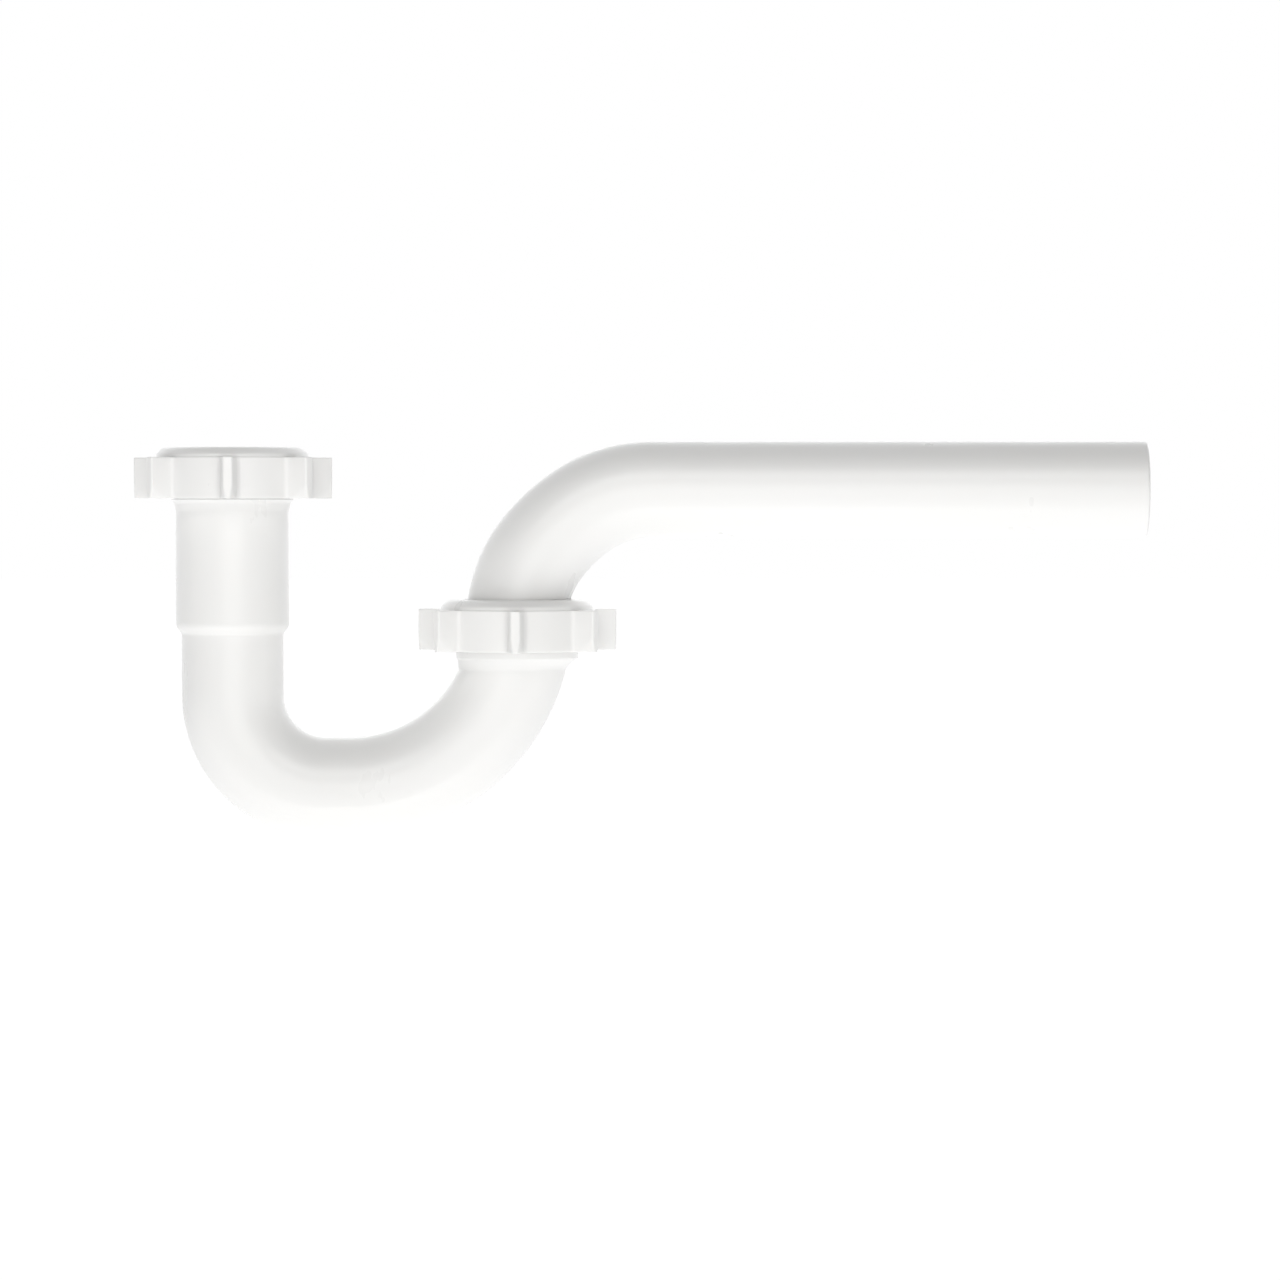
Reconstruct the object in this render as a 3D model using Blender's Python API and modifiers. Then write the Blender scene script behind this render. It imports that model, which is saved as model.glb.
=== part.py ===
"""Slip-joint P trap for 1-1/2 in tubular drains: J-bend, trap arm, two slip nuts and two washers.

The origin is the middle of the inlet nut's top face, on the inlet axis. +Z is up and +X points to the wall.
"""

import math

import bmesh
import bpy
from mathutils import Matrix, Vector

MM = 0.001
TURN = 2 * math.pi
GAP = 0.3 * MM  # between pieces that touch on the real object

# Tubes
ARM_OUTER_R = 19.05 * MM  # 1-1/2 in tubular
ARM_ROOT_R = 20.5 * MM  # the arm is a little stouter at its flange
ARM_BORE_R = 17.0 * MM
BEND_OUTER_R = 20.4 * MM
BEND_BORE_R = 17.2 * MM

# J-bend, as seen from the front: a leg down, a tight arc, a short flat and a wide arc up, which
# meets the union hub a little before it is upright
TIGHT_ARC_R = 37.7 * MM
WIDE_ARC_R = 69.3 * MM
WIDE_ARC_END = math.radians(347)
FLAT_LENGTH = 9.6 * MM
UNION_X = TIGHT_ARC_R + FLAT_LENGTH + WIDE_ARC_R * math.cos(WIDE_ARC_END)
TIGHT_ARC_Z = -99.6 * MM  # height of the tight arc's centre
WIDE_ARC_Z = TIGHT_ARC_Z - TIGHT_ARC_R + WIDE_ARC_R

# Inlet socket, heights from the inlet nut's top face
SOCKET_OUTER_R = 22.75 * MM
SOCKET_BORE_R = 19.45 * MM  # takes a 38.1 mm tailpiece
SOCKET_END_Z = -72.5 * MM  # outside step down to the tube
SOCKET_STEP = 3.2 * MM
SOCKET_LEDGE_Z = -72.0 * MM  # inside ledge that stops the tailpiece

# Threads, 11.5 per inch, right-hand
PITCH = 25.4 / 11.5 * MM
THREAD_DEPTH = 1.35 * MM
MALE_ROOT_R = 23.15 * MM
MALE_CREST_R = MALE_ROOT_R + THREAD_DEPTH
THREAD_CLEARANCE = 0.4 * MM
FEMALE_CREST_R = MALE_ROOT_R + THREAD_CLEARANCE
FEMALE_ROOT_R = MALE_CREST_R + THREAD_CLEARANCE
RIDGE_ROOT_WIDTH = 1.15 * MM
RIDGE_CREST_WIDTH = 0.5 * MM
RIDGE_SINK = 0.5 * MM  # how far a ridge reaches into the wall that carries it
MALE_THREAD_START = 0.9  # pitches above the hub's shoulder
MALE_THREAD_LEAD = 0.4  # pitches left plain under the rim
FEMALE_THREAD_START = 1.4  # pitches above the hub's shoulder

# Slip nut, heights from its top face
NUT_HEIGHT = 20.6 * MM
NUT_BODY_R = 31.3 * MM
NUT_HOLE_R = 21.9 * MM
NUT_CEILING = 3.2 * MM  # thickness of the wall over the washer
COLLAR_HEIGHT = 4.0 * MM
COLLAR_R = 30.5 * MM
COLLAR_EDGE = ((26.2 * MM, 0), (27.9 * MM, 0.7 * MM), (29.1 * MM, 1.7 * MM), (30.1 * MM, 2.9 * MM))  # radius and depth
NUT_THREAD_TOP = 5.2 * MM
LUG_COUNT = 7
LUG_TIP_R = 40.7 * MM
LUG_ROOT_WIDTH = 6.4 * MM
LUG_TIP_WIDTH = 3.8 * MM
LUG_CHAMFER = 2.0 * MM
LUG_INSET = 0.25 * MM  # of a lug's top and bottom from the body's
LUG_SINK = 1.5 * MM  # how far a lug reaches into the body
NUT_EDGE = 0.5 * MM
INLET_LUG_ANGLE = math.radians(-86)
UNION_LUG_ANGLE = math.radians(-88)

# Hubs, heights from the top face of the nut on them
RIM_CHAMFER = 0.4 * MM
INLET_RIM = 6.8 * MM
UNION_RIM = 8.7 * MM
HUB_SHOULDER_R = 24.5 * MM
HUB_SHOULDER_TOP = NUT_HEIGHT + GAP
INLET_TAPER = ((23.6 * MM, 22.0 * MM), (23.0 * MM, 23.6 * MM))  # radius and depth, down to the socket
INLET_TAPER_END = 25.6 * MM
UNION_SHOULDER_LOW = 22.9 * MM
UNION_SHOULDER_RUN = 3.3 * MM
UNION_HUB_BORE_R = 19.9 * MM
UNION_HUB_BORE_DEPTH = 19.0 * MM
UNION_BORE_RUN = 3.5 * MM  # cone from the hub's bore down to the tube's
SOCKET_BORE_RUN = 2.0 * MM  # the same under the inlet socket

# Washers
WASHER_R = 23.1 * MM
INLET_WASHER_BORE_R = 19.3 * MM
INLET_WASHER_FLANGE = 3.0 * MM
INLET_WASHER_TIP = 0.5 * MM  # thickness of the washer's thin end
MOUTH_TOP_R = 22.0 * MM  # cone at the mouth of the inlet hub
MOUTH_DEPTH = 6.2 * MM
MOUTH_SLOPE = (MOUTH_TOP_R - SOCKET_BORE_R) / MOUTH_DEPTH
UNION_WASHER_BORE_R = 20.0 * MM
UNION_WASHER_THICKNESS = 2.0 * MM

# Trap arm: flange, nose and the bend, as radius and the tilt from vertical that each arc reaches
FLANGE_R = 23.1 * MM
FLANGE_THICKNESS = 2.6 * MM
FLANGE_CHAMFER = 0.4 * MM
NOSE_CHAMFER = 0.6 * MM
NOSE_DEPTH = 13.5 * MM  # end of the nose below the union nut's top face
ARM_ARCS = ((46.0 * MM, 35.0), (68.0 * MM, 55.0), (52.0 * MM, 90.0))
ARM_ARC_START_Z = -69.3 * MM
ARM_END_X = 367.4 * MM
ARM_EDGE_ROUND = 1.0 * MM
ARM_EDGE_STEPS = 3

UNION_TOP_Z = -61.0 * MM  # top face of the union nut

# How far shapes run into, or short of, each other so that no two of their faces coincide
JOIN = 1.5 * MM
TUCK = 0.5 * MM
BORE_TUCK = 0.7 * MM
RUN_PAST = 2.0 * MM

TURNED_SIDES = 24
TUBE_SIDES = 26
MERGE = 0.001 * MM
ARC_STEP = math.radians(9)
SMOOTH_UNDER = math.radians(35)
TUBE_TILT = math.radians(3)  # turns a tube's facets clear of the edges of the turned shapes that it joins


def clear_scene():
    for obj in list(bpy.data.objects):
        bpy.data.objects.remove(obj, do_unlink=True)


def new_collection(name):
    collection = bpy.data.collections.new(name)
    bpy.context.scene.collection.children.link(collection)
    return collection


def plastic(name, colour, roughness):
    material = bpy.data.materials.new(name)
    material.use_nodes = True
    shader = material.node_tree.nodes["Principled BSDF"]
    shader.inputs["Base Color"].default_value = (*colour, 1)
    shader.inputs["Roughness"].default_value = roughness
    shader.inputs["Metallic"].default_value = 0
    return material


def add_object(name, mesh, collection, x=0.0, z=0.0):
    obj = bpy.data.objects.new(name, mesh)
    obj.location = (x, 0, z)
    collection.objects.link(obj)
    return obj


def hide_helper(obj):
    obj.hide_render = True
    obj.display_type = "WIRE"
    return obj


def turned(name, profile, collection, x=0.0, z=0.0):
    """A solid of revolution about its own Z axis. The profile of (radius, height) runs down the outer side."""
    mesh = bpy.data.meshes.new(name)
    points = [(radius, 0, height) for radius, height in profile]
    edges = [(i, i + 1) for i in range(len(points) - 1)]
    if profile[0][0] > 0:
        edges.append((len(points) - 1, 0))
    mesh.from_pydata(points, edges, [])
    obj = add_object(name, mesh, collection, x, z)
    screw = obj.modifiers.new("Turn", "SCREW")
    screw.axis = "Z"
    screw.steps = screw.render_steps = TURNED_SIDES
    screw.use_merge_vertices = True
    screw.merge_threshold = MERGE
    screw.use_smooth_shade = True
    return obj


def swept(name, path, radii, collection):
    """A closed round tube, without a bore, along points in the XZ plane."""
    curve = bpy.data.curves.new(name, "CURVE")
    curve.dimensions = "3D"
    curve.bevel_depth = 1.0
    curve.bevel_resolution = (TUBE_SIDES - 4) // 2
    curve.use_fill_caps = True
    spline = curve.splines.new("POLY")
    spline.points.add(len(path) - 1)
    for point, (x, z), radius in zip(spline.points, path, radii):
        point.co = (x, 0, z, 1)
        point.radius = radius
        point.tilt = TUBE_TILT
    guide = add_object(name + "_curve", curve, collection)
    graph = bpy.context.evaluated_depsgraph_get()
    mesh = bpy.data.meshes.new_from_object(guide.evaluated_get(graph))
    bpy.data.objects.remove(guide, do_unlink=True)
    shape = bmesh.new()
    shape.from_mesh(mesh)
    bmesh.ops.remove_doubles(shape, verts=shape.verts, dist=MERGE)
    bmesh.ops.recalc_face_normals(shape, faces=shape.faces)
    shape.to_mesh(mesh)
    shape.free()
    mesh.name = name
    return add_object(name, mesh, collection)


def whole_quarters(turns):
    return math.floor(turns * 4) / 4


def thread_ridge(name, root_r, crest_r, low_z, turns, collection, x, z):
    """A right-hand helical ridge, closed at both ends, sunk a little into the wall that carries it."""
    sunk_r = root_r + math.copysign(RIDGE_SINK, root_r - crest_r)
    corners = (
        (sunk_r, -RIDGE_ROOT_WIDTH / 2),
        (crest_r, -RIDGE_CREST_WIDTH / 2),
        (crest_r, RIDGE_CREST_WIDTH / 2),
        (sunk_r, RIDGE_ROOT_WIDTH / 2),
    )
    shape = bmesh.new()
    section = shape.faces.new([shape.verts.new((radius, 0, low_z + rise)) for radius, rise in corners])
    bmesh.ops.spin(
        shape,
        geom=[section, *section.edges, *section.verts],
        axis=(0, 0, 1),
        cent=(0, 0, 0),
        dvec=(0, 0, PITCH / TURNED_SIDES),
        angle=turns * TURN,
        steps=round(turns * TURNED_SIDES),
    )
    bmesh.ops.recalc_face_normals(shape, faces=shape.faces)
    # Half a step round, so that the ridge's ends cross the wall's facets and not its edges
    half_step = Matrix.Rotation(TURN / TURNED_SIDES / 2, 3, "Z")
    bmesh.ops.rotate(shape, verts=shape.verts, matrix=half_step)
    mesh = bpy.data.meshes.new(name)
    shape.to_mesh(mesh)
    shape.free()
    return hide_helper(add_object(name, mesh, collection, x, z))


def combine(obj, other, operation):
    boolean = obj.modifiers.new(other.name, "BOOLEAN")
    boolean.operation = operation
    boolean.object = hide_helper(other)


def finish_piece(obj, material):
    obj.data.materials.clear()
    obj.data.materials.append(material)


def arc_points(centre, radius, start, end):
    """Points on an arc in the XZ plane, angles from +X towards +Z, without its first point."""
    steps = max(2, math.ceil(abs(end - start) / ARC_STEP))
    angles = [start + (end - start) * i / steps for i in range(1, steps + 1)]
    return [(centre[0] + radius * math.cos(a), centre[1] + radius * math.sin(a)) for a in angles]


def bend_path(start_z, end_z):
    """Centre line of the J-bend, from a height in the inlet leg to one inside the union hub."""
    path = [(0.0, start_z), (0.0, TIGHT_ARC_Z)]
    path += arc_points((TIGHT_ARC_R, TIGHT_ARC_Z), TIGHT_ARC_R, math.pi, 1.5 * math.pi)
    wide_centre = (TIGHT_ARC_R + FLAT_LENGTH, WIDE_ARC_Z)
    path.append((wide_centre[0], WIDE_ARC_Z - WIDE_ARC_R))
    path += arc_points(wide_centre, WIDE_ARC_R, 1.5 * math.pi, WIDE_ARC_END)
    path.append((UNION_X, end_z))
    return path


def arm_path(start_z, end_x):
    """Centre line and radii of the trap arm, from a height under its flange to its open end."""
    path = [(UNION_X, start_z), (UNION_X, ARM_ARC_START_Z)]
    tilts = [0.0, 0.0]
    x, z, tilt = UNION_X, ARM_ARC_START_Z, 0.0
    for radius, reached in ARM_ARCS:
        centre = (x + radius * math.cos(tilt), z - radius * math.sin(tilt))
        points = arc_points(centre, radius, math.pi - tilt, math.pi - math.radians(reached))
        tilts += [tilt + (math.radians(reached) - tilt) * (i + 1) / len(points) for i in range(len(points))]
        path += points
        (x, z), tilt = points[-1], math.radians(reached)
    path.append((end_x, z))
    tilts.append(tilt)
    return path, tilts


def hub_outer(rim, below):
    """Profile of a hub's outside, from its rim down. Heights are from the top face of the nut on it."""
    return [
        (0, -rim),
        (MALE_ROOT_R - RIM_CHAMFER, -rim),
        (MALE_ROOT_R, -rim - RIM_CHAMFER),
        (MALE_ROOT_R, -HUB_SHOULDER_TOP),
        (HUB_SHOULDER_R, -HUB_SHOULDER_TOP),
        *below,
    ]


def build_trap_bend(parts, helpers):
    path = bend_path(SOCKET_END_Z - JOIN, UNION_TOP_Z - UNION_HUB_BORE_DEPTH)
    bend = swept("trap_bend", path, [BEND_OUTER_R] * len(path), parts)

    inlet = hub_outer(
        INLET_RIM,
        [
            *((radius, -depth) for radius, depth in INLET_TAPER),
            (SOCKET_OUTER_R, -INLET_TAPER_END),
            (SOCKET_OUTER_R, SOCKET_END_Z),
            (BEND_OUTER_R - TUCK, SOCKET_END_Z - SOCKET_STEP),
            (0, SOCKET_END_Z - SOCKET_STEP),
        ],
    )
    combine(bend, turned("inlet_hub_body", inlet, helpers), "UNION")

    hub_low = -UNION_SHOULDER_LOW - UNION_SHOULDER_RUN
    union = hub_outer(
        UNION_RIM,
        [
            (HUB_SHOULDER_R, -UNION_SHOULDER_LOW),
            (HUB_SHOULDER_R - UNION_SHOULDER_RUN, hub_low),
            (0, hub_low),
        ],
    )
    combine(bend, turned("union_hub_body", union, helpers, UNION_X, UNION_TOP_Z), "UNION")

    for name, rim, x, z in (("inlet", INLET_RIM, 0, 0), ("union", UNION_RIM, UNION_X, UNION_TOP_Z)):
        low = -HUB_SHOULDER_TOP + MALE_THREAD_START * PITCH
        turns = whole_quarters((-rim - low) / PITCH - MALE_THREAD_LEAD)
        ridge = thread_ridge(name + "_male_thread", MALE_ROOT_R, MALE_CREST_R, low, turns, helpers, x, z)
        combine(bend, ridge, "UNION")

    path = bend_path(SOCKET_LEDGE_Z + JOIN, UNION_TOP_Z - UNION_HUB_BORE_DEPTH + 2 * JOIN)
    combine(bend, swept("bend_bore", path, [BEND_BORE_R] * len(path), helpers), "DIFFERENCE")
    inlet_bore = [
        (0, -INLET_RIM + JOIN),
        (MOUTH_TOP_R + MOUTH_SLOPE * JOIN, -INLET_RIM + JOIN),
        (SOCKET_BORE_R, -INLET_RIM - MOUTH_DEPTH),
        (SOCKET_BORE_R, SOCKET_LEDGE_Z),
        (BEND_BORE_R - BORE_TUCK, SOCKET_LEDGE_Z - SOCKET_BORE_RUN),
        (0, SOCKET_LEDGE_Z - SOCKET_BORE_RUN),
    ]
    combine(bend, turned("inlet_bore", inlet_bore, helpers), "DIFFERENCE")
    union_bore = [
        (0, -UNION_RIM + JOIN),
        (UNION_HUB_BORE_R, -UNION_RIM + JOIN),
        (UNION_HUB_BORE_R, -UNION_HUB_BORE_DEPTH),
        (BEND_BORE_R - BORE_TUCK, -UNION_HUB_BORE_DEPTH - UNION_BORE_RUN),
        (0, -UNION_HUB_BORE_DEPTH - UNION_BORE_RUN),
    ]
    combine(bend, turned("union_bore", union_bore, helpers, UNION_X, UNION_TOP_Z), "DIFFERENCE")
    return bend


def build_trap_arm(parts, helpers):
    flange_top = UNION_TOP_Z - NUT_CEILING - GAP
    flange_low = flange_top - FLANGE_THICKNESS
    nose_low = UNION_TOP_Z - NOSE_DEPTH
    path, tilts = arm_path(nose_low + JOIN, ARM_END_X - ARM_EDGE_ROUND)
    radii = [ARM_ROOT_R + (ARM_OUTER_R - ARM_ROOT_R) * tilt / (math.pi / 2) for tilt in tilts]
    radii[0] = radii[1] = ARM_OUTER_R - TUCK  # inside the nose
    for i in range(ARM_EDGE_STEPS):
        angle = math.pi / 2 * (i + 1) / ARM_EDGE_STEPS
        path.append((ARM_END_X - ARM_EDGE_ROUND * (1 - math.sin(angle)), path[-1][1]))
        radii.append(ARM_OUTER_R - ARM_EDGE_ROUND * (1 - math.cos(angle)))
    arm = swept("trap_arm", path, radii, parts)

    flange = [
        (0, flange_top),
        (FLANGE_R - FLANGE_CHAMFER, flange_top),
        (FLANGE_R, flange_top - FLANGE_CHAMFER),
        (FLANGE_R, flange_low),
        (ARM_OUTER_R, flange_low),
        (ARM_OUTER_R, nose_low + NOSE_CHAMFER),
        (ARM_OUTER_R - NOSE_CHAMFER, nose_low),
        (0, nose_low),
    ]
    combine(arm, turned("arm_flange", flange, helpers, UNION_X), "UNION")
    path, _ = arm_path(nose_low - RUN_PAST, ARM_END_X + RUN_PAST)
    combine(arm, swept("arm_bore", path, [ARM_BORE_R] * len(path), helpers), "DIFFERENCE")
    return arm


def lug(name, angle, collection, x, z):
    """One grip lug: an upright plate along a radius, thinner at its tip, its lower outer corner chamfered."""
    root_r = NUT_BODY_R - LUG_SINK
    top, low = -COLLAR_HEIGHT - LUG_INSET, -NUT_HEIGHT + LUG_INSET
    outline = (
        (root_r, low),
        (LUG_TIP_R - LUG_CHAMFER, low),
        (LUG_TIP_R, low + LUG_CHAMFER),
        (LUG_TIP_R, top),
        (root_r, top),
    )
    shape = bmesh.new()
    face = shape.faces.new([shape.verts.new((r, -LUG_ROOT_WIDTH / 2, h)) for r, h in outline])
    pushed = bmesh.ops.extrude_face_region(shape, geom=[face])
    moved = [item for item in pushed["geom"] if isinstance(item, bmesh.types.BMVert)]
    bmesh.ops.translate(shape, vec=Vector((0, LUG_ROOT_WIDTH, 0)), verts=moved)
    for vert in shape.verts:
        along = (vert.co.x - root_r) / (LUG_TIP_R - root_r)
        vert.co.y *= 1 - along * (1 - LUG_TIP_WIDTH / LUG_ROOT_WIDTH)
    bmesh.ops.recalc_face_normals(shape, faces=shape.faces)
    bmesh.ops.rotate(shape, verts=shape.verts, matrix=Matrix.Rotation(angle, 3, "Z"))
    mesh = bpy.data.meshes.new(name)
    shape.to_mesh(mesh)
    shape.free()
    return add_object(name, mesh, collection, x, z)


def build_slip_nut(name, lug_angle, parts, helpers, x=0.0, z=0.0):
    profile = [
        (NUT_HOLE_R, 0),
        *((radius, -depth) for radius, depth in COLLAR_EDGE),
        (COLLAR_R, -COLLAR_HEIGHT),
        (NUT_BODY_R, -COLLAR_HEIGHT),
        (NUT_BODY_R, -NUT_HEIGHT + NUT_EDGE),
        (NUT_BODY_R - NUT_EDGE, -NUT_HEIGHT),
        (FEMALE_ROOT_R, -NUT_HEIGHT),
        (FEMALE_ROOT_R, -NUT_CEILING),
        (NUT_HOLE_R, -NUT_CEILING),
    ]
    nut = turned(name, profile, parts, x, z)
    for i in range(LUG_COUNT):
        piece = lug(f"{name}_lug_{i}", lug_angle + TURN * i / LUG_COUNT, helpers, x, z)
        combine(nut, piece, "UNION")
    low = -HUB_SHOULDER_TOP + FEMALE_THREAD_START * PITCH
    turns = whole_quarters((-NUT_THREAD_TOP - low) / PITCH)
    ridge = thread_ridge(name + "_thread", FEMALE_ROOT_R, FEMALE_CREST_R, low, turns, helpers, x, z)
    combine(nut, ridge, "UNION")
    return nut


def build_inlet_washer(parts):
    top = -NUT_CEILING - GAP
    low = top - INLET_WASHER_FLANGE
    nose_r = MOUTH_TOP_R - 2 * GAP
    nose_length = (nose_r - INLET_WASHER_BORE_R - INLET_WASHER_TIP) / MOUTH_SLOPE
    profile = [
        (INLET_WASHER_BORE_R, top),
        (WASHER_R, top),
        (WASHER_R, low),
        (nose_r, low),
        (nose_r, -INLET_RIM),
        (nose_r - MOUTH_SLOPE * nose_length, -INLET_RIM - nose_length),
        (INLET_WASHER_BORE_R, -INLET_RIM - nose_length),
    ]
    return turned("inlet_washer", profile, parts)


def build_union_washer(parts):
    top = -UNION_RIM + GAP + UNION_WASHER_THICKNESS
    profile = [
        (UNION_WASHER_BORE_R, top),
        (WASHER_R, top),
        (WASHER_R, top - UNION_WASHER_THICKNESS),
        (UNION_WASHER_BORE_R, top - UNION_WASHER_THICKNESS),
    ]
    return turned("union_washer", profile, parts, UNION_X, UNION_TOP_Z)


def shade(obj):
    obj.data.shade_smooth()
    obj.data.set_sharp_from_angle(angle=SMOOTH_UNDER)


def main():
    clear_scene()
    parts = new_collection("p_trap")
    helpers = new_collection("p_trap_cutters")
    white = plastic("white_polypropylene", (0.86, 0.86, 0.85), 0.28)
    soft = plastic("washer_polyethylene", (0.78, 0.79, 0.80), 0.5)
    pieces = (
        (build_trap_bend(parts, helpers), white),
        (build_trap_arm(parts, helpers), white),
        (build_slip_nut("inlet_slip_nut", INLET_LUG_ANGLE, parts, helpers), white),
        (build_slip_nut("union_nut", UNION_LUG_ANGLE, parts, helpers, UNION_X, UNION_TOP_Z), white),
        (build_inlet_washer(parts), soft),
        (build_union_washer(parts), soft),
    )
    for obj, material in pieces:
        finish_piece(obj, material)
        shade(obj)


main()
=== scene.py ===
"""Looks of the slip-joint P trap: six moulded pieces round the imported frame, each a closed grid of quads."""

import math

import bpy
import numpy as np
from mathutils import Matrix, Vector


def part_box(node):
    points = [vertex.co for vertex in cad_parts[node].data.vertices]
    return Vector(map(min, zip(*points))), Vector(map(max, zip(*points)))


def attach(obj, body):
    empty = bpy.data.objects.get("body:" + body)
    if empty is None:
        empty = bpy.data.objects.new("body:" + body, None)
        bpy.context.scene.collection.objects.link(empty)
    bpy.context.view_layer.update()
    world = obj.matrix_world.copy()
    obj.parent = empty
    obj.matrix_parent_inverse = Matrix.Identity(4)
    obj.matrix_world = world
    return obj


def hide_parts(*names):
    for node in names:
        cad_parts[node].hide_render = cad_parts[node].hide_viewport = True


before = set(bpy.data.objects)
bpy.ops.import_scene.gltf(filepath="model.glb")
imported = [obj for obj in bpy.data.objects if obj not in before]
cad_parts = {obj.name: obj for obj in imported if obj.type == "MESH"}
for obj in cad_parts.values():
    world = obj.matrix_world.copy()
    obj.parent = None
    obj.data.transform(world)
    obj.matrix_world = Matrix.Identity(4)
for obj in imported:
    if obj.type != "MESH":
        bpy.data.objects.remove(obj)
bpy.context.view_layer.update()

MM = 0.001
TURN = 2 * math.pi

# Heights and ends from the frame. The inlet's axis is x = 0, and the top of its nut is z = 0
_, union_nut_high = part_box("union_nut")
_, arm_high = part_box("trap_arm")
bend_low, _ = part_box("trap_bend")
UNION_TOP = union_nut_high.z
ARM_END_X = arm_high.x
UNION_X = 114.824 * MM

COLUMNS = 192  # round a pipe
ROUND_STEPS = 4  # rows in a rounded edge

# Threads
PITCH = 25.4 / 11.5 * MM
THREAD_DEPTH = 1.35 * MM
MALE_ROOT_R = 23.15 * MM
FEMALE_ROOT_R = 24.9 * MM
RIDGE_ROOT = 1.15 * MM
RIDGE_CREST = 0.5 * MM
THREAD_ROW = 0.15 * MM

# Pipes
ARM_OUTER_R = 19.05 * MM
ARM_ROOT_R = 20.5 * MM
ARM_BORE_R = 17.0 * MM
BEND_OUTER_R = 20.4 * MM
BEND_BORE_R = 17.2 * MM
TIGHT_R = 37.7 * MM
WIDE_R = 69.3 * MM
FLAT = 9.6 * MM
TIGHT_Z = -99.6 * MM
SOCKET_OUTER_R = 22.75 * MM
SOCKET_BORE_R = 19.45 * MM

# Hubs and nuts, depths under the top face of the nut
NUT_HEIGHT = 20.6 * MM
SHOULDER_TOP = 20.68 * MM
SHOULDER_R = 24.5 * MM
INLET_RIM = 6.8 * MM
UNION_RIM = 8.7 * MM
HUB_LOW = 28.4 * MM
FLARE_TOP = 23.9 * MM
FLARE_POWER = 1.5  # above 1, the flare is hollow at its foot
RIM_BORE_R = 22.0 * MM
TAPER_LOW = 13.0 * MM  # where the inlet's tapered mouth ends in the socket
NUT_HOLE_R = 21.9 * MM
CEILING = 3.2 * MM  # thickness of a nut's wall over its washer
COLLAR_HEIGHT = 4.0 * MM
FLANGE_R = 23.1 * MM  # of the arm's flange and both washers
NOSE_LOW = 13.5 * MM


# ---------------------------------------------------------------- shapes

def rounded(corners, steps=ROUND_STEPS):
    """A profile of (radius, height): each corner rounded by its own radius, with support rows beside it."""
    points = np.array([corner[:2] for corner in corners], float)
    edges = np.diff(points, axis=0)
    lengths = np.hypot(*edges.T)
    ways = edges / lengths[:, None]
    turn = np.arccos(np.clip((ways[:-1] * ways[1:]).sum(axis=1), -1, 1))
    wanted = np.zeros(len(corners))
    wanted[1:-1] = np.tan(turn / 2) * [size for _, _, size in corners[1:-1]]
    # Two corners share the edge between them in proportion to what they want of it
    crowd = np.maximum((wanted[:-1] + wanted[1:]) / (0.94 * lengths), 1)
    out = [points[0]]
    for i in range(1, len(corners) - 1):
        here = points[i]
        reach = wanted[i] / max(crowd[i - 1], crowd[i])
        if reach <= 0:
            out.append(here)
            continue
        a, b = here - ways[i - 1] * reach, here + ways[i] * reach
        if lengths[i - 1] > 2.6 * reach:
            out.append(a - ways[i - 1] * reach * 0.35)
        for t in np.linspace(0, 1, steps + 1):
            near, middle, far = (1 - t) ** 2, 2 * t * (1 - t) * math.cos(turn[i - 1] / 2), t * t
            out.append((near * a + middle * here + far * b) / (near + middle + far))
        if lengths[i] > 2.6 * reach:
            out.append(b + ways[i] * reach * 0.35)
    out.append(points[-1])
    return np.array(out)


def lathe(profile, angles, x=0.0, z=0.0):
    """Rows of points turned about the upright axis at x. The angles can differ from column to column."""
    profile = np.asarray(profile, float)
    radius, height = profile[:, :1], profile[:, 1:]
    rows = np.empty((len(profile), len(angles), 3))
    rows[:, :, 0] = x + radius * np.cos(angles)
    rows[:, :, 1] = radius * np.sin(angles)
    rows[:, :, 2] = z + height
    return rows


def ridge(angles, heights, low, turns):
    """0 to 1: how far a right-hand helical ridge stands up at each angle and height. It fades at its ends."""
    part = np.mod(angles, TURN) / TURN
    h = heights[:, None]
    count = np.clip(np.round((h - low) / PITCH - part), -1, math.ceil(turns) + 1)
    off = np.abs(h - low - PITCH * (part + count))
    up = np.clip((RIDGE_ROOT - 2 * off) / (RIDGE_ROOT - RIDGE_CREST), 0, 1)
    turn = part + count
    ends = np.clip(turn / 0.12, 0, 1) * np.clip((turns - turn) / 0.12, 0, 1)
    return up * up * (3 - 2 * up) * ends * ends * (3 - 2 * ends)


def threaded(angles, base, depth, top, bottom, low, turns, x=0.0, z=0.0):
    """Rows down a threaded wall from top to bottom."""
    heights = np.linspace(top, bottom, round(abs(top - bottom) / THREAD_ROW))
    radius = base + depth * ridge(angles, heights, low, turns)
    rows = np.empty(radius.shape + (3,))
    rows[:, :, 0] = x + radius * np.cos(angles)
    rows[:, :, 1] = radius * np.sin(angles)
    rows[:, :, 2] = z + heights[:, None]
    return rows


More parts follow.
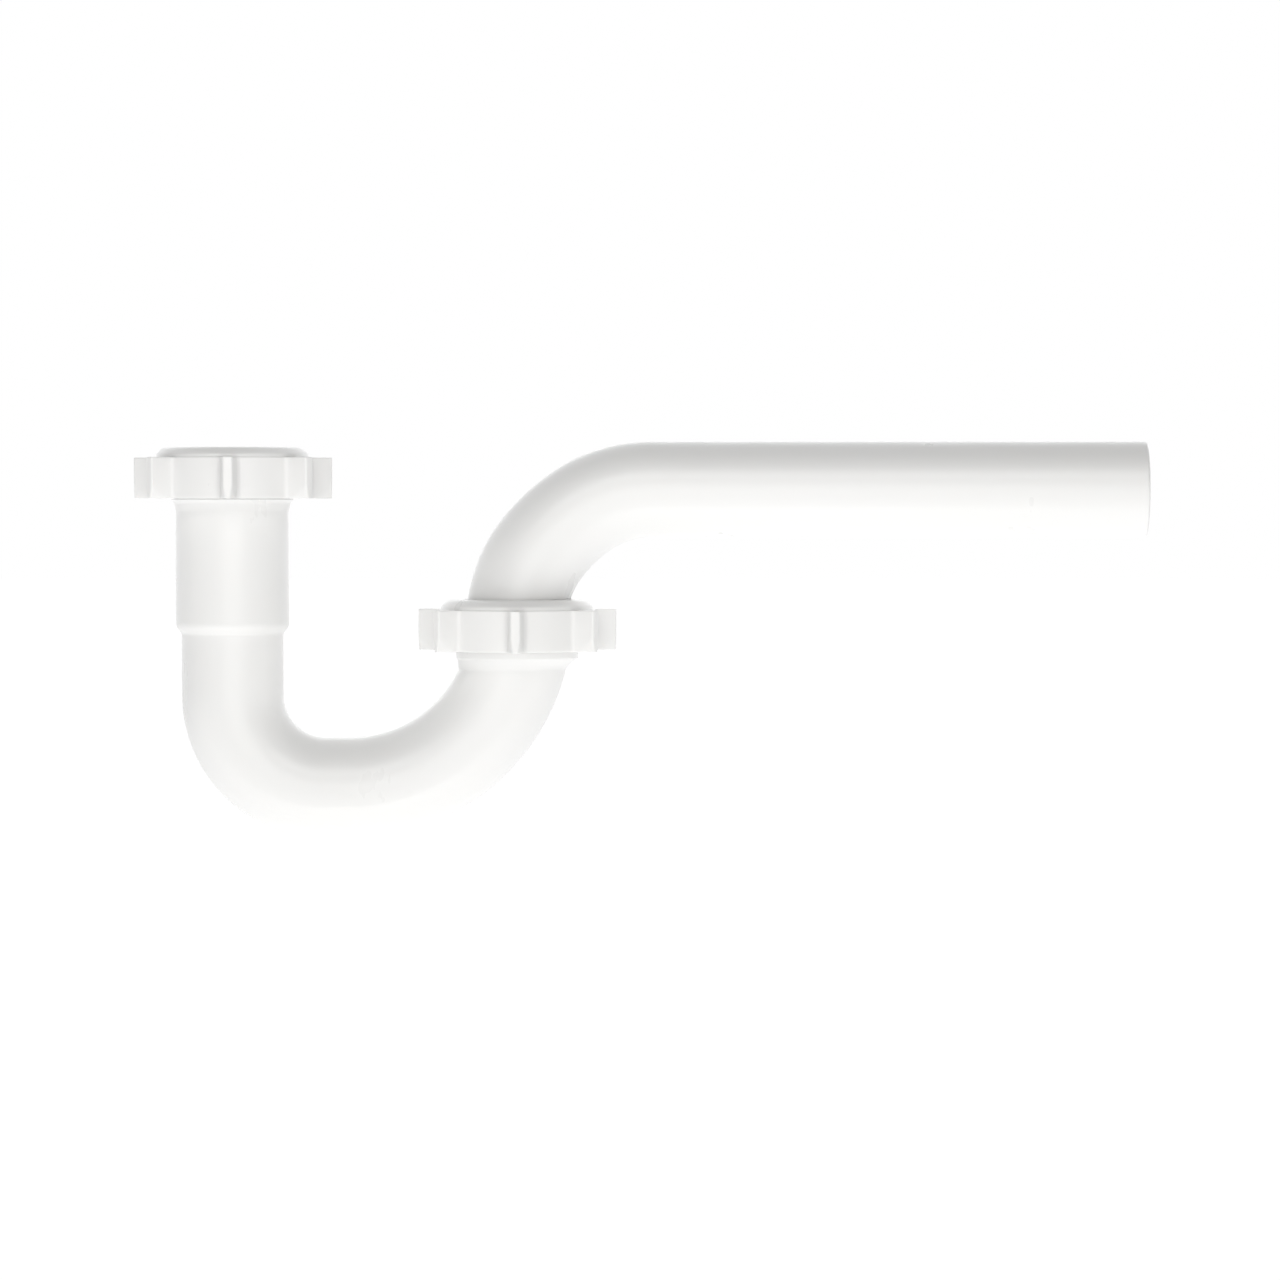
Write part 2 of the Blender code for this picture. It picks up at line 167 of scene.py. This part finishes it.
class Route:
    """A centre line in the XZ plane of straight runs and arcs: (length, curvature), left turns positive."""

    def __init__(self, x, z, heading, moves):
        self.parts = []
        s = 0.0
        for length, bend in moves:
            self.parts.append((s, x, z, heading, bend))
            x, z, heading = self.step(x, z, heading, bend, length)
            s += length
        self.length = s

    @staticmethod
    def step(x, z, heading, bend, d):
        if not bend:
            return x + d * np.cos(heading), z + d * np.sin(heading), heading + 0 * d
        ahead = heading + bend * d
        dx = (np.sin(ahead) - np.sin(heading)) / bend
        dz = (np.cos(heading) - np.cos(ahead)) / bend
        return x + dx, z + dz, ahead

    def at(self, s):
        x, z, heading = (np.zeros(np.shape(s)) for _ in range(3))
        for i, (start, *state) in enumerate(self.parts):
            on = (s >= start) if i else np.ones(np.shape(s), bool)
            x[on], z[on], heading[on] = self.step(*state, s[on] - start)
        return x, z, heading

    def pipe(self, s, radius, angles):
        """Points on the pipe: s and radius can differ from column to column."""
        s = np.broadcast_to(s, np.broadcast_shapes(np.shape(s), np.shape(angles)))
        x, z, heading = self.at(s)
        radius = radius(s) if callable(radius) else radius
        side, up = radius * np.cos(angles), radius * np.sin(angles)
        return np.stack([x - side * np.sin(heading), up + 0 * x, z + side * np.cos(heading)], axis=-1)

    def meets(self, height, radius, angles, low, high):
        """The distance along the pipe at which each column reaches a height, between low and high."""
        low, high = np.full(len(angles), low), np.full(len(angles), high)
        rising = self.pipe(high, radius, angles)[:, 2] > self.pipe(low, radius, angles)[:, 2]
        for _ in range(40):
            mid = (low + high) / 2
            under = (self.pipe(mid, radius, angles)[:, 2] < height) == rising
            low, high = np.where(under, mid, low), np.where(under, high, mid)
        return (low + high) / 2


def closed_grid(name, rows):
    """A mesh from rows of points that closes on itself both ways, facing out."""
    rows = np.concatenate(rows)
    count, across = rows.shape[:2]
    i, j = np.meshgrid(np.arange(count), np.arange(across), indexing="ij")
    down, right = (i + 1) % count, (j + 1) % across
    quads = np.stack([i * across + j, i * across + right, down * across + right, down * across + j], axis=-1)
    quads = quads.reshape(-1, 4)
    points = rows.reshape(-1, 3)
    a, b, c, d = (points[quads[:, k]] for k in range(4))
    volume = np.einsum("ij,ij->", a, np.cross(b, c)) + np.einsum("ij,ij->", a, np.cross(c, d))
    if volume < 0:
        quads = quads[:, ::-1]
    mesh = bpy.data.meshes.new(name)
    mesh.from_pydata(points.tolist(), [], quads.tolist())
    mesh.shade_smooth()
    obj = bpy.data.objects.new(name, mesh)
    bpy.context.scene.collection.objects.link(obj)
    return obj


# ---------------------------------------------------------------- pieces

def hub_thread(angles, rim, x, z):
    """The outside of a threaded hub from its rim down to its shoulder."""
    chamfer = 0.5 * MM
    low = -SHOULDER_TOP + 0.9 * PITCH
    turns = math.floor(((-rim - low) / PITCH - 0.4) * 4) / 4
    top, bottom = -rim - chamfer, -SHOULDER_TOP + 0.4 * MM
    return threaded(angles, MALE_ROOT_R, THREAD_DEPTH, top, bottom, low, turns, x, z)


def trap_bend():
    theta = np.arange(COLUMNS) * TURN / COLUMNS
    route = Route(0, 0, -math.pi / 2, [
        (-TIGHT_Z, 0),
        (TIGHT_R * math.pi / 2, 1 / TIGHT_R),
        (FLAT, 0),
        (WIDE_R * math.pi / 2, 1 / WIDE_R),
    ])
    wide_start = route.parts[3][0]

    inlet_low = [
        (MALE_ROOT_R, -SHOULDER_TOP + 0.3 * MM, 0),
        (MALE_ROOT_R, -SHOULDER_TOP, 0.15 * MM),
        (SHOULDER_R, -SHOULDER_TOP, 0.1 * MM),
        (SHOULDER_R, -21.0 * MM, 0.4 * MM),
        (23.3 * MM, -22.3 * MM, 1.6 * MM),
        (SOCKET_OUTER_R, -25.6 * MM, 6 * MM),
        (SOCKET_OUTER_R, -45 * MM, 0),
        (SOCKET_OUTER_R, -71.9 * MM, 4.5 * MM),
        (BEND_OUTER_R, -75.0 * MM, 2.0 * MM),
        (BEND_OUTER_R, -79 * MM, 0),
    ]
    hub_low = [
        (SHOULDER_R - 0.15 * MM, -FLARE_TOP + 0.2 * MM, 0),
        (SHOULDER_R, -FLARE_TOP + 0.6 * MM, 0.4 * MM),
        (SHOULDER_R, -SHOULDER_TOP, 0.1 * MM),
        (MALE_ROOT_R, -SHOULDER_TOP, 0.15 * MM),
        (MALE_ROOT_R, -SHOULDER_TOP + 0.3 * MM, 0),
    ]
    outside = [lathe([(22.5 * MM, -INLET_RIM)], theta)]
    outside.append(hub_thread(theta, INLET_RIM, 0, 0))
    outside.append(lathe(rounded(inlet_low), theta))
    s = np.linspace(80 * MM, wide_start, 64)[:, None]
    outside.append(route.pipe(s, BEND_OUTER_R, theta))
    # The wide arc ends level, on the underside of the union hub
    end = route.meets(UNION_TOP - HUB_LOW, BEND_OUTER_R, theta, wide_start, route.length)
    t = np.linspace(0, 1, 73)[1:, None]
    outside.append(route.pipe(wide_start + (end - wide_start) * t, BEND_OUTER_R, theta))
    across, deep = outside[-1][-1][:, 0] - UNION_X, outside[-1][-1][:, 1]
    hub_angles, foot = np.arctan2(deep, across), np.hypot(across, deep)
    # It flares from the pipe's own outline to the round shoulder
    t = np.linspace(0, 1, 12)[1:, None]
    radius = foot + (SHOULDER_R - 0.5 * MM - foot) * t ** FLARE_POWER
    height = UNION_TOP - HUB_LOW + (HUB_LOW - FLARE_TOP) * (t + 0 * radius)
    outside.append(np.stack([
        UNION_X + radius * np.cos(hub_angles),
        radius * np.sin(hub_angles),
        height,
    ], axis=-1))
    outside.append(lathe(rounded(hub_low), hub_angles, UNION_X, UNION_TOP))
    outside.append(hub_thread(hub_angles, UNION_RIM, UNION_X, UNION_TOP)[::-1])
    outside.append(lathe([(22.6 * MM, -UNION_RIM), (20.2 * MM, -UNION_RIM)], hub_angles, UNION_X, UNION_TOP))

    bore = rounded([
        (19.9 * MM, -UNION_RIM - 0.4 * MM, 0),
        (19.9 * MM, -19.0 * MM, 1 * MM),
        (18.0 * MM, -22.0 * MM, 0),
    ])
    inside = [lathe(bore, hub_angles, UNION_X, UNION_TOP)]
    end = route.meets(UNION_TOP - 22.8 * MM, BEND_BORE_R, theta, wide_start, route.length)
    t = np.linspace(1, 0, 49)[:, None]
    inside.append(route.pipe(wide_start + (end - wide_start) * t, BEND_BORE_R, theta))
    s = np.linspace(wide_start, 78 * MM, 48)[1:, None]
    inside.append(route.pipe(s, BEND_BORE_R, theta))
    inlet_bore = [
        (BEND_BORE_R, -77 * MM, 0),
        (BEND_BORE_R, -73.2 * MM, 0.8 * MM),
        (18.0 * MM, -72.0 * MM, 0.5 * MM),
        (SOCKET_BORE_R, -72.0 * MM, 0.3 * MM),
        (SOCKET_BORE_R, -TAPER_LOW, 2 * MM),
        (RIM_BORE_R, -INLET_RIM - 0.2 * MM, 0),
    ]
    inside.append(lathe(rounded(inlet_bore), theta))
    return closed_grid("bend", outside + inside)


def trap_arm():
    theta = np.arange(COLUMNS) * TURN / COLUMNS
    arcs = ((46.0 * MM, 35), (68.0 * MM, 20), (52.0 * MM, 35))  # radius and degrees; 90 in all
    start = -69.3 * MM
    moves = [(5 * MM, 0)] + [(radius * math.radians(turn), -1 / radius) for radius, turn in arcs]
    route = Route(UNION_X, start - 5 * MM, math.pi / 2, moves + [(0.4, 0)])
    bent = route.parts[-1][0]
    run = ARM_END_X - route.parts[-1][1]
    route.parts[-1] = (bent, *route.parts[-1][1:3], 0.0, 0)  # dead level, without the sum's rounding

    def stout(s):
        share = np.clip((s - 5 * MM) / (bent - 5 * MM), 0, 1)
        return ARM_ROOT_R + (ARM_OUTER_R - ARM_ROOT_R) * share

    flange_top = UNION_TOP - 3.5 * MM
    flange_low = flange_top - 2.6 * MM
    nose_low = UNION_TOP - NOSE_LOW
    facing = math.pi - theta  # columns run the other way round the upright start
    flange = [
        (ARM_BORE_R + 0.5 * MM, nose_low, 0),
        (ARM_OUTER_R, nose_low, 0.7 * MM),
        (ARM_OUTER_R, flange_low, 0.5 * MM),
        (FLANGE_R, flange_low, 0.4 * MM),
        (FLANGE_R, flange_top, 0.5 * MM),
        (21.2 * MM, flange_top, 0),
    ]
    outside = [lathe(rounded(flange), facing, UNION_X)]
    begin = route.meets(flange_top, stout, theta, 0, 30 * MM)
    t = np.linspace(0, 1, 97)[:, None]
    outside.append(route.pipe(begin + (bent - begin) * t, stout, theta))
    edge = 1.0 * MM
    s = np.linspace(bent, bent + run - edge - 0.4 * MM, 60)[1:, None]
    outside.append(route.pipe(s, ARM_OUTER_R, theta))
    rim = [
        (ARM_OUTER_R, -2.5 * MM, 0),
        (ARM_OUTER_R, 0, edge),
        (ARM_BORE_R, 0, 0.4 * MM),
        (ARM_BORE_R, -2 * MM, 0),
    ]
    for radius, back in rounded(rim, 6)[1:-1]:
        outside.append(route.pipe(np.array([[bent + run + back]]), radius, theta))
    s = np.linspace(bent + run - 3 * MM, bent, 40)[:, None]
    inside = [route.pipe(s, ARM_BORE_R, theta)]
    s = np.linspace(bent, 5 * MM, 64)[1:, None]
    inside.append(route.pipe(s, ARM_BORE_R, theta))
    mouth = [(ARM_BORE_R, nose_low + 1 * MM), (ARM_BORE_R + 0.1 * MM, nose_low + 0.4 * MM)]
    inside.append(lathe(mouth, facing, UNION_X))
    return closed_grid("arm", outside + inside)


LUGS = 7
BODY_R = 31.3 * MM
TIP_R = 40.7 * MM
LUG_ROOT_HALF = 3.2 * MM
LUG_TIP_HALF = 1.9 * MM
LUG_ROOT_ROUND = 2.4 * MM
LUG_TIP_ROUND = 0.8 * MM
FACET = (6.2 * MM, 5.6 * MM, 0.9 * MM)  # at a lug's lower corner: along it, up it and into its side
INLET_TURN = math.radians(-86)  # of the first lug
UNION_TURN = math.radians(-88)


def lug_outline(inset, above, turn):
    """One level of the nut's outside, all the way round. above is its height over the nut's bottom."""
    body, tip = BODY_R - inset, TIP_R - inset
    # Half a sector, from the middle of a panel to a lug's tip. The lug's side leans in by this angle
    lean = math.atan((LUG_ROOT_HALF - LUG_TIP_HALF) / (TIP_R - BODY_R))
    out_way = np.array((math.cos(lean), -math.sin(lean)))
    side_way = np.array((math.sin(lean), math.cos(lean)))
    foot = np.array((BODY_R, LUG_ROOT_HALF)) - inset * side_way
    # The fillet's centre is its radius from the side and from the body
    root = LUG_ROOT_ROUND
    line = foot + root * side_way
    ahead = float(-line @ out_way + math.sqrt((line @ out_way) ** 2 - line @ line + (body + root) ** 2))
    centre = line + ahead * out_way
    at = math.atan2(centre[1], centre[0])
    half_sector = [(body * math.cos(a), body * math.sin(a)) for a in np.linspace(math.pi / LUGS, at, 7)]
    for a in np.linspace(at + math.pi, 1.5 * math.pi - lean, 7)[1:]:
        half_sector.append(centre + root * np.array((math.cos(a), math.sin(a))))
    # The tip's round lies between the side and the tip face
    small = LUG_TIP_ROUND
    run = (tip - small - (foot - small * side_way)[0]) / out_way[0]
    knuckle = foot - small * side_way + run * out_way
    start, end = half_sector[-1], knuckle + small * side_way
    half_sector += [start + (end - start) * t for t in np.linspace(0, 1, 7)[1:]]
    for a in np.linspace(math.pi / 2 - lean, 0, 6)[1:]:
        half_sector.append(knuckle + small * np.array((math.cos(a), math.sin(a))))
    half_sector.append((tip, knuckle[1] * 0.4))
    side = np.array(half_sector)
    along, up, depth = FACET
    cut = np.clip(1 - (TIP_R - side[:, 0]) / along - above / up, 0, 1) * depth
    side[:, 1] = np.maximum(side[:, 1] - cut, side[:, 1] * 0.3)
    mirrored = side[::-1] * (1, -1)
    # From the +y side of the sector to its -y side the angle falls; reversed to run anticlockwise
    sector = np.concatenate([side, mirrored])[::-1][1:]
    out = []
    for i in range(LUGS):
        c, s = math.cos(turn + TURN * i / LUGS), math.sin(turn + TURN * i / LUGS)
        sx, sy = sector.T
        out.append(np.stack([sx * c - sy * s, sx * s + sy * c], axis=-1))
    return np.concatenate(out)


def slip_nut(name, turn, x, z):
    """Collar, lugged body and threaded inside. turn is the angle of the first lug."""
    top = -COLLAR_HEIGHT
    levels = []
    edge = 0.3 * MM
    for t in np.linspace(0, 1, 4):
        a = t * math.pi / 2
        levels.append((top - edge * (1 - math.cos(a)), edge * (1 - math.sin(a))))
    levels += [(h, 0) for h in np.linspace(top - edge - 0.3 * MM, -NUT_HEIGHT + FACET[1], 6)]
    levels += [(h, 0) for h in np.linspace(-NUT_HEIGHT + FACET[1], -NUT_HEIGHT + edge, 9)[1:]]
    for t in np.linspace(0, 1, 4)[1:]:
        a = t * math.pi / 2
        levels.append((-NUT_HEIGHT + edge * (1 - math.sin(a)), edge * (1 - math.cos(a))))
    walls = []
    for height, inset in levels:
        ring = lug_outline(inset, height + NUT_HEIGHT, turn)
        rows = np.empty((1, len(ring), 3))
        rows[0, :, :2] = ring
        rows[0, :, 0] += x
        rows[0, :, 2] = z + height
        walls.append(rows)
    ring = lug_outline(0, NUT_HEIGHT, turn)
    angles = np.arctan2(ring[:, 1], ring[:, 0])
    collar = rounded([
        (NUT_HOLE_R, -CEILING, 0.3 * MM),
        (NUT_HOLE_R, 0, 0.4 * MM),
        (27.6 * MM, 0, 5 * MM),
        (30.7 * MM, -2.6 * MM, 2.2 * MM),
        (30.9 * MM, top + 0.05 * MM, 0.05 * MM),
        (30.95 * MM, top, 0),
    ], 7)
    low = -SHOULDER_TOP + 1.4 * PITCH
    turns = math.floor((-5.2 * MM - low) / PITCH * 4) / 4
    bottom = lathe([(26.5 * MM, -NUT_HEIGHT), (25.4 * MM, -NUT_HEIGHT)], angles, x, z)
    start, end = -NUT_HEIGHT + 0.5 * MM, -CEILING - 0.4 * MM
    thread = threaded(angles, FEMALE_ROOT_R, -THREAD_DEPTH, start, end, low, turns, x, z)
    ceiling = lathe([(24.5 * MM, -CEILING)], angles, x, z)
    return closed_grid(name, [lathe(collar, angles, x, z), *walls, bottom, thread, ceiling])


def inlet_washer():
    theta = np.arange(COLUMNS) * TURN / COLUMNS
    top = -3.5 * MM
    slope = (RIM_BORE_R - SOCKET_BORE_R) / (TAPER_LOW - INLET_RIM)
    nose = 21.4 * MM
    length = (nose - 19.8 * MM) / slope
    profile = [
        (19.3 * MM, top - 1 * MM, 0),
        (19.3 * MM, top, 0.3 * MM),
        (FLANGE_R, top, 0.4 * MM),
        (FLANGE_R, top - 3.0 * MM, 0.4 * MM),
        (nose, top - 3.0 * MM, 0.1 * MM),
        (nose, -INLET_RIM, 0.2 * MM),
        (nose - slope * length, -INLET_RIM - length, 0.15 * MM),
        (19.3 * MM, -INLET_RIM - length, 0.15 * MM),
        (19.3 * MM, -INLET_RIM - length + 1 * MM, 0),
    ]
    return closed_grid("tapered_washer", [lathe(rounded(profile), theta)])


def union_washer():
    theta = np.arange(COLUMNS) * TURN / COLUMNS
    top = -UNION_RIM + 2.3 * MM
    profile = [
        (20.0 * MM, top - 0.8 * MM, 0),
        (20.0 * MM, top, 0.35 * MM),
        (FLANGE_R, top, 0.5 * MM),
        (FLANGE_R, top - 2.0 * MM, 0.5 * MM),
        (20.0 * MM, top - 2.0 * MM, 0.35 * MM),
        (20.0 * MM, top - 1.2 * MM, 0),
    ]
    return closed_grid("flat_washer", [lathe(rounded(profile), theta, UNION_X, UNION_TOP)])


# ---------------------------------------------------------------- materials

def plastic(name, colour, roughness, subsurface, coarse):
    """Moulded plastic: slight colour drift, flow marks in the gloss, low waves and a faint grain."""
    material = bpy.data.materials.new(name)
    material.use_nodes = True
    nodes, links = material.node_tree.nodes, material.node_tree.links
    shader = nodes["Principled BSDF"]
    shader.inputs["IOR"].default_value = 1.49
    shader.inputs["Subsurface Weight"].default_value = subsurface
    shader.inputs["Subsurface Radius"].default_value = (1.0, 0.95, 0.9)
    shader.inputs["Subsurface Scale"].default_value = 0.002
    coordinates = nodes.new("ShaderNodeTexCoord")

    def noise(scale, detail, low, high, stretch=(1, 1, 1)):
        mapping = nodes.new("ShaderNodeMapping")
        mapping.inputs["Scale"].default_value = stretch
        texture = nodes.new("ShaderNodeTexNoise")
        texture.inputs["Scale"].default_value = scale
        texture.inputs["Detail"].default_value = detail
        spread = nodes.new("ShaderNodeMapRange")
        spread.inputs["From Min"].default_value = 0.3
        spread.inputs["From Max"].default_value = 0.7
        spread.inputs["To Min"].default_value = low
        spread.inputs["To Max"].default_value = high
        links.new(coordinates.outputs["Object"], mapping.inputs["Vector"])
        links.new(mapping.outputs["Vector"], texture.inputs["Vector"])
        links.new(texture.outputs["Fac"], spread.inputs["Value"])
        return spread.outputs["Result"]

    tint = nodes.new("ShaderNodeMix")
    tint.data_type = "RGBA"
    tint.inputs["A"].default_value = (*[c * 0.993 for c in colour[:2]], colour[2] * 0.988, 1)
    tint.inputs["B"].default_value = (*colour, 1)
    links.new(noise(14, 3, 0, 1), tint.inputs["Factor"])
    links.new(tint.outputs["Result"], shader.inputs["Base Color"])
    links.new(noise(60, 4, roughness - 0.03, roughness + 0.04, (1, 1, 0.35)), shader.inputs["Roughness"])
    grain = nodes.new("ShaderNodeBump")
    grain.inputs["Strength"].default_value = 0.12
    grain.inputs["Distance"].default_value = 0.00004
    links.new(noise(coarse, 3, 0, 1), grain.inputs["Height"])
    waves = nodes.new("ShaderNodeBump")
    waves.inputs["Strength"].default_value = 0.1
    waves.inputs["Distance"].default_value = 0.0002
    links.new(noise(45, 1, 0, 1), waves.inputs["Height"])
    links.new(waves.outputs["Normal"], grain.inputs["Normal"])
    links.new(grain.outputs["Normal"], shader.inputs["Normal"])
    return material


white = plastic("white_polypropylene", (0.83, 0.829, 0.823), 0.30, 0.12, 2600)
soft = plastic("washer_polyethylene", (0.80, 0.80, 0.79), 0.48, 0.3, 1800)


def install(obj, node, body, material):
    obj.data.materials.append(material)
    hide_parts(node)
    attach(obj, body)


install(trap_bend(), "trap_bend", "trap_bend", white)
install(trap_arm(), "trap_arm", "trap_arm", white)
inlet_nut = slip_nut("inlet_nut", INLET_TURN, 0, 0)
joint_nut = slip_nut("joint_nut", UNION_TURN, UNION_X, UNION_TOP)
install(inlet_nut, "inlet_slip_nut", "inlet_slip_nut", white)
install(joint_nut, "union_nut", "union_nut", white)
install(inlet_washer(), "inlet_washer", "inlet_washer", soft)
install(union_washer(), "union_washer", "union_washer", soft)

# ---------------------------------------------------------------- stage, light and camera

FLOOR_Z = bend_low.z - 0.5 * MM
mesh = bpy.data.meshes.new("floor")
mesh.from_pydata([(-6, -6, 0), (6, -6, 0), (6, 6, 0), (-6, 6, 0)], [], [(0, 1, 2, 3)])
floor = bpy.data.objects.new("floor", mesh)
floor.location = (UNION_X, 0, FLOOR_Z)
bpy.context.scene.collection.objects.link(floor)
pale = bpy.data.materials.new("pale_floor")
pale.use_nodes = True
shader = pale.node_tree.nodes["Principled BSDF"]
shader.inputs["Base Color"].default_value = (0.1, 0.1, 0.1, 1)
shader.inputs["Roughness"].default_value = 0.9
shader.inputs["Specular IOR Level"].default_value = 0
shader.inputs["Emission Color"].default_value = (1, 1, 1, 1)
shader.inputs["Emission Strength"].default_value = 0.97
floor.data.materials.append(pale)
floor.visible_shadow = False  # the "table" softbox shines up through it

world = bpy.data.worlds.new("studio")
world.use_nodes = True
bpy.context.scene.world = world
nodes, links = world.node_tree.nodes, world.node_tree.links
for node in list(nodes):
    nodes.remove(node)
out = nodes.new("ShaderNodeOutputWorld")
seen = nodes.new("ShaderNodeBackground")
seen.inputs["Color"].default_value = (1, 1, 1, 1)
seen.inputs["Strength"].default_value = 1.0
fill = nodes.new("ShaderNodeBackground")
fill.inputs["Color"].default_value = (0.99, 0.995, 1.0, 1)
# What lights the object: a pale wall behind it and a dim room in front
way = nodes.new("ShaderNodeTexCoord")
split = nodes.new("ShaderNodeSeparateXYZ")
wall = nodes.new("ShaderNodeMapRange")
wall.inputs["From Min"].default_value = 0.0
wall.inputs["From Max"].default_value = 1.0
wall.inputs["To Min"].default_value = 0.15
wall.inputs["To Max"].default_value = 1.75
links.new(way.outputs["Generated"], split.inputs[0])
links.new(split.outputs["Y"], wall.inputs["Value"])
links.new(wall.outputs["Result"], fill.inputs["Strength"])
ray = nodes.new("ShaderNodeLightPath")
mix = nodes.new("ShaderNodeMixShader")
links.new(ray.outputs["Is Camera Ray"], mix.inputs[0])
links.new(fill.outputs[0], mix.inputs[1])
links.new(seen.outputs[0], mix.inputs[2])
links.new(mix.outputs[0], out.inputs["Surface"])


def softbox(name, at, aim, width, height, watts):
    light = bpy.data.lights.new(name, "AREA")
    light.shape = "RECTANGLE"
    light.size, light.size_y = width, height
    light.energy = watts
    light.color = (1, 0.99, 0.975)
    obj = bpy.data.objects.new(name, light)
    obj.location = at
    obj.rotation_euler = (Vector(aim) - Vector(at)).to_track_quat("-Z", "Y").to_euler()
    obj.visible_camera = False
    bpy.context.scene.collection.objects.link(obj)


softbox("front", (0.125, -0.95, 0.04), (0.125, 0, 0.04), 0.7, 0.4, 1.78)
softbox("upper", (0.05, -0.95, 0.65), (0.05, 0, 0.2), 1.1, 0.35, 4.2)
softbox("table", (0.1, -0.55, -0.6), (0.13, 0, -0.07), 0.6, 0.4, 1.2)

CAMERA_AT = Vector((0.2125, -1.8086, -0.0212))
CAMERA_AIM = Vector((0.1643, 0, -0.0774))
camera_data = bpy.data.cameras.new("camera")
camera = bpy.data.objects.new("camera", camera_data)
bpy.context.scene.collection.objects.link(camera)
camera_data.lens = 126.56
camera_data.sensor_width = 36
camera_data.clip_end = 50
camera.location = CAMERA_AT
camera.rotation_euler = (CAMERA_AIM - CAMERA_AT).to_track_quat("-Z", "Y").to_euler()
bpy.context.scene.camera = camera
bpy.context.scene.view_settings.view_transform = "Standard"
